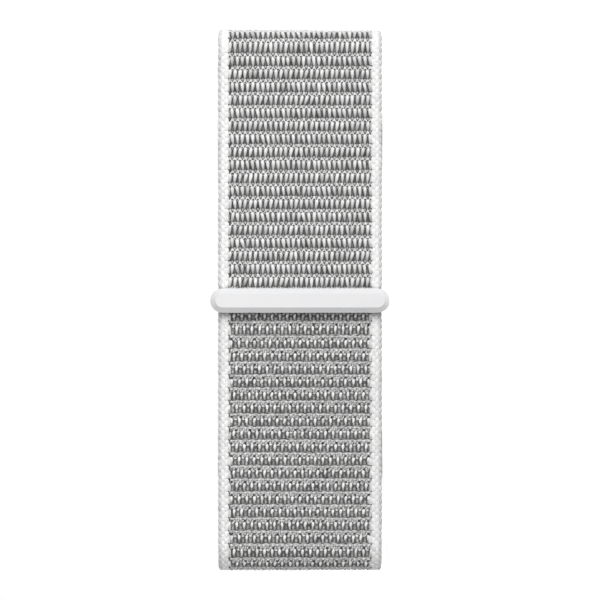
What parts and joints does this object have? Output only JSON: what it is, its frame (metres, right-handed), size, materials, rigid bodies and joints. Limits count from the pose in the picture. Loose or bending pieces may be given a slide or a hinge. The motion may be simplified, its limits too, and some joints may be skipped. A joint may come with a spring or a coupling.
{
  "type": "nylon watch strap",
  "caption": "Woven nylon loop watch strap, closed, with pale selvedges, a white keeper bar, a folded hook-and-loop tail and swivelling spring-catch lugs at both ends",
  "frame": {"origin": "middle of the closed strap in X and Y, on the surface it lies on", "axes": "+Z runs across the strap's width, upwards from the edge it lies on; -Y is the way the front stretch with the keeper faces; +X points along the front stretch towards the short strap"},
  "size_m": [0.0724, 0.041, 0.0239],
  "materials": {
    "woven_nylon": "woven white and charcoal nylon yarn, white selvedges",
    "welded_nylon": "heat-pressed nylon",
    "nylon_hooks": "moulded nylon hooks",
    "white_keeper": "satin white",
    "lug_steel": "fine brushed",
    "spring_steel": "drawn wire",
    "pad_rubber": "matte elastomer"
  },
  "bodies": {
    "short_side": {"short_strap": "woven_nylon", "keeper_ring": "white_keeper"},
    "long_side": {"long_strap": "woven_nylon"},
    "tail_side": {"tail": "woven_nylon", "tail_tab": "welded_nylon", "hook_patch": "nylon_hooks"},
    "short_lug": {"short_lug": "lug_steel", "short_lug_pin": "lug_steel", "short_catch_spring": "spring_steel", "short_pad_low": "pad_rubber", "short_pad_high": "pad_rubber"},
    "short_catch": {"short_catch": "lug_steel"},
    "long_lug": {"long_lug": "lug_steel", "long_lug_pin": "lug_steel", "long_catch_spring": "spring_steel", "long_pad_low": "pad_rubber", "long_pad_high": "pad_rubber"},
    "long_catch": {"long_catch": "lug_steel"}
  },
  "joints": [
    {"name": "strap_swing", "type": "hinge", "parent": "short_side", "child": "long_side", "pos_m": [0, -0.01555, 0.01195], "axis": [0, 0, -1], "range_deg": [-3, 40]},
    {"name": "tail_peel", "type": "hinge", "parent": "long_side", "child": "tail_side", "pos_m": [-0.00219, -0.01916, 0.01195], "axis": [0, 0, 1], "range_deg": [0, 95]},
    {"name": "short_lug_turn", "type": "hinge", "parent": "short_side", "child": "short_lug", "pos_m": [0.0246, 0.01855, 0.01195], "axis": [0, 0, 1], "range_deg": [-20, 20]},
    {"name": "long_lug_turn", "type": "hinge", "parent": "long_side", "child": "long_lug", "pos_m": [-0.0246, 0.01855, 0.01195], "axis": [0, 0, -1], "range_deg": [-20, 20]},
    {"name": "short_catch_press", "type": "slide", "parent": "short_lug", "child": "short_catch", "axis": [0, 1, 0], "range_m": [0, 0.0005], "stiffness_N_per_m": 600, "springref_m": -0.0002, "deforming": ["short_catch_spring"]},
    {"name": "long_catch_press", "type": "slide", "parent": "long_lug", "child": "long_catch", "axis": [0, 1, 0], "range_m": [0, 0.0005], "stiffness_N_per_m": 600, "springref_m": -0.0002, "deforming": ["long_catch_spring"]}
  ]
}
